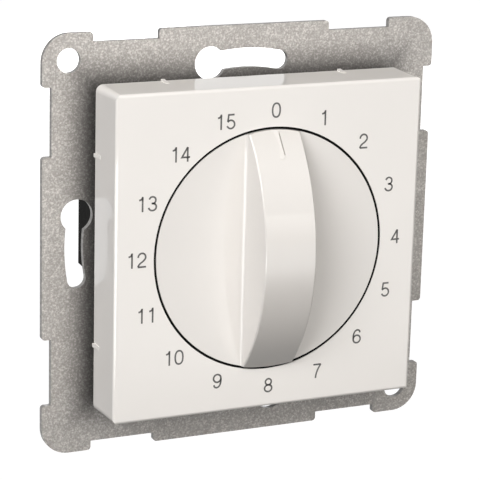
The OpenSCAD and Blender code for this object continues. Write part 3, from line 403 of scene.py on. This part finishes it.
# Degrees to the right of the front, degrees up, metres away, width, height, strength, tint
LAMPS = {
    "key": (-50, 28, 1.0, 0.60, 0.60, 9.7, WHITE),
    "top": (-12, 45, 1.0, 0.58, 0.58, 3.2, WARM),
    "front": (6, 28, 1.0, 0.58, 0.58, 3.2, WARM),
    "low": (15, 5, 1.0, 0.58, 0.40, 1.15, WARM),
    "edge": (-45, -15, 0.35, 0.56, 0.07, 5.2, WHITE),
    "rear": (160, -2, 1.0, 0.15, 0.15, 108.0, WHITE),
}
# Lamps that only mirrors show
GLOSS_ONLY = ["edge"]
# Strength of the even light from all sides
AMBIENT = 0.01
# White of the floor near the object to the camera, and of all that lies behind the object in mirrors
BACK_GLOW = 0.93
MIRROR_GLOW = 1.0
# Strengths in mirrors of the floor in front, of a patch of it and of the sky above
FRONT_GLOW = 0.40
PATCH_GLOW = 2.2
SKY_GLOW = 1.7
# Grey of the floor to the camera and to the light
FLOOR_SEEN = 0.2
FLOOR_BOUNCE = 0.03
FLOOR_Z = -0.125
FLOOR_HALF = 4.0
# Places along Y between which each glow of the floor grows
BEHIND = (-0.10, 0.10)
AHEAD = (-0.20, -0.40)
PATCH = (-0.14, -0.36)
FRONT_END = (-3.5, -0.5)
FAR_WHITE = (0.25, 0.80)
# Sides of the patch, as metres across for each metre ahead
PATCH_LEFT = (0.08, 0.22)
PATCH_RIGHT = (0.98, 0.70)
# Parts of the direction along Y between which the sky behind the object grows white in mirrors
SKY_BEHIND = (-0.2, 0.4)
# Middle of the bright sky, in degrees to the right and up, and the cosines between which it grows
SKY_AT = (20, 30)
SKY_EDGE = (0.74, 0.99)


def rays(tree):
    """Light Path's camera ray, and its glossy and transmission rays together."""
    path = tree.nodes.new("ShaderNodeLightPath")
    mirror = maths(tree, "MAXIMUM", path.outputs["Is Glossy Ray"], path.outputs["Is Transmission Ray"])
    return path.outputs["Is Camera Ray"], mirror


def towards(azimuth, elevation):
    """Direction from the object, in degrees to the right of the front and up."""
    a, e = math.radians(azimuth), math.radians(elevation)
    return Vector((math.sin(a) * math.cos(e), -math.cos(a) * math.cos(e), math.sin(e)))


def make_floor():
    """Pale floor: white to the camera, and in mirrors white behind the object and bright in front of it."""
    bm = bmesh.new()
    bmesh.ops.create_grid(bm, x_segments=12, y_segments=12, size=FLOOR_HALF)
    bmesh.ops.translate(bm, verts=bm.verts, vec=(0.0, 0.0, FLOOR_Z))
    mesh = bpy.data.meshes.new("floor")
    bm.to_mesh(mesh)
    bm.free()
    floor = bpy.data.objects.new("floor", mesh)
    scene.collection.objects.link(floor)
    m = bpy.data.materials.new("pale_floor")
    m.use_nodes = True
    t = m.node_tree
    t.nodes.clear()
    out = t.nodes.new("ShaderNodeOutputMaterial")
    paper = t.nodes.new("ShaderNodeBsdfDiffuse")
    glow = t.nodes.new("ShaderNodeEmission")
    glow.inputs["Color"].default_value = (1.0, 1.0, 1.0, 1.0)
    where = t.nodes.new("ShaderNodeSeparateXYZ")
    t.links.new(t.nodes.new("ShaderNodeTexCoord").outputs["Object"], where.inputs[0])
    across, along = where.outputs["X"], where.outputs["Y"]
    seen, mirror = rays(t)
    shade = maths(t, "ADD", maths(t, "MULTIPLY", seen, FLOOR_SEEN - FLOOR_BOUNCE), FLOOR_BOUNCE)
    t.links.new(shade, paper.inputs["Color"])
    slant = maths(t, "DIVIDE", across, maths(t, "MULTIPLY", along, -1.0))
    patch = maths(t, "MULTIPLY", ramped(t, slant, *PATCH_LEFT), ramped(t, slant, *PATCH_RIGHT))
    patch = maths(t, "MULTIPLY", patch, ramped(t, along, *PATCH))
    front = maths(t, "MULTIPLY", ramped(t, along, *AHEAD), FRONT_GLOW)
    front = maths(t, "MAXIMUM", front, maths(t, "MULTIPLY", patch, PATCH_GLOW))
    front = maths(t, "MULTIPLY", front, ramped(t, along, *FRONT_END))
    behind = maths(t, "MULTIPLY", ramped(t, along, *BEHIND), MIRROR_GLOW)
    mirrored = maths(t, "MULTIPLY", mirror, maths(t, "MAXIMUM", behind, front))
    far = maths(t, "MULTIPLY", ramped(t, along, *FAR_WHITE), 1.0 - BACK_GLOW)
    white = maths(t, "MULTIPLY", seen, maths(t, "ADD", far, BACK_GLOW))
    t.links.new(maths(t, "MAXIMUM", white, mirrored), glow.inputs["Strength"])
    both = t.nodes.new("ShaderNodeAddShader")
    t.links.new(paper.outputs[0], both.inputs[0])
    t.links.new(glow.outputs[0], both.inputs[1])
    t.links.new(both.outputs[0], out.inputs["Surface"])
    mesh.materials.append(m)


def make_world():
    """White to the camera, and in mirrors white behind the object and bright above its front."""
    world = bpy.data.worlds.new("studio")
    scene.world = world
    world.use_nodes = True
    t = world.node_tree
    t.nodes.clear()
    out = t.nodes.new("ShaderNodeOutputWorld")
    sky = t.nodes.new("ShaderNodeBackground")
    sky.inputs["Color"].default_value = (1.0, 1.0, 1.0, 1.0)
    direction = t.nodes.new("ShaderNodeTexCoord").outputs["Generated"]
    where = t.nodes.new("ShaderNodeSeparateXYZ")
    t.links.new(direction, where.inputs[0])
    middle = t.nodes.new("ShaderNodeVectorMath")
    middle.operation = "DOT_PRODUCT"
    t.links.new(direction, middle.inputs[0])
    middle.inputs[1].default_value = towards(*SKY_AT)
    seen, mirror = rays(t)
    behind = maths(t, "MULTIPLY", ramped(t, where.outputs["Y"], *SKY_BEHIND), MIRROR_GLOW)
    front = maths(t, "MULTIPLY", ramped(t, middle.outputs["Value"], *SKY_EDGE), SKY_GLOW)
    light = maths(t, "MULTIPLY", mirror, maths(t, "MAXIMUM", behind, front))
    light = maths(t, "MAXIMUM", light, AMBIENT)
    t.links.new(maths(t, "MAXIMUM", light, seen), sky.inputs["Strength"])
    t.links.new(sky.outputs[0], out.inputs["Surface"])


def lamp(name, azimuth, elevation, away, width, height, strength, tint):
    """Soft oval lamp that faces the object."""
    data = bpy.data.lights.new(name, "AREA")
    data.shape = "ELLIPSE"
    data.size, data.size_y = width, height
    data.energy = strength * math.pi * (math.pi / 4 * width * height)
    data.color = tint
    obj = bpy.data.objects.new(name, data)
    obj.location = towards(azimuth, elevation) * away
    obj.rotation_euler = (-obj.location).to_track_quat("-Z", "Y").to_euler()
    obj.visible_camera = False
    obj.visible_diffuse = name not in GLOSS_ONLY
    scene.collection.objects.link(obj)


make_floor()
make_world()
for name, values in LAMPS.items():
    lamp(name, *values)


# Camera at the photograph's angle

YAW, PITCH, ROLL = (math.radians(v) for v in (24.88, -14.784, 1.478))
EYE = Vector((-148.69, -321.48, 91.94)) * MM
FOCAL_PX = 2156.8
PICTURE_PX = 480.0
SENSOR = 36.0


def make_camera():
    ahead = Vector((math.sin(YAW) * math.cos(PITCH), math.cos(YAW) * math.cos(PITCH), math.sin(PITCH)))
    level = Vector((math.cos(YAW), -math.sin(YAW), 0.0))
    rise = level.cross(ahead)
    right = math.cos(ROLL) * level + math.sin(ROLL) * rise
    up = math.cos(ROLL) * rise - math.sin(ROLL) * level
    data = bpy.data.cameras.new("photo_camera")
    data.sensor_width = SENSOR
    data.lens = FOCAL_PX * SENSOR / PICTURE_PX
    data.clip_start = 0.01
    camera = bpy.data.objects.new("photo_camera", data)
    turn = Matrix((right, up, -ahead)).transposed().to_4x4()
    camera.matrix_world = Matrix.Translation(EYE) @ turn
    scene.collection.objects.link(camera)
    scene.camera = camera


make_camera()
scene.view_settings.view_transform = "Standard"
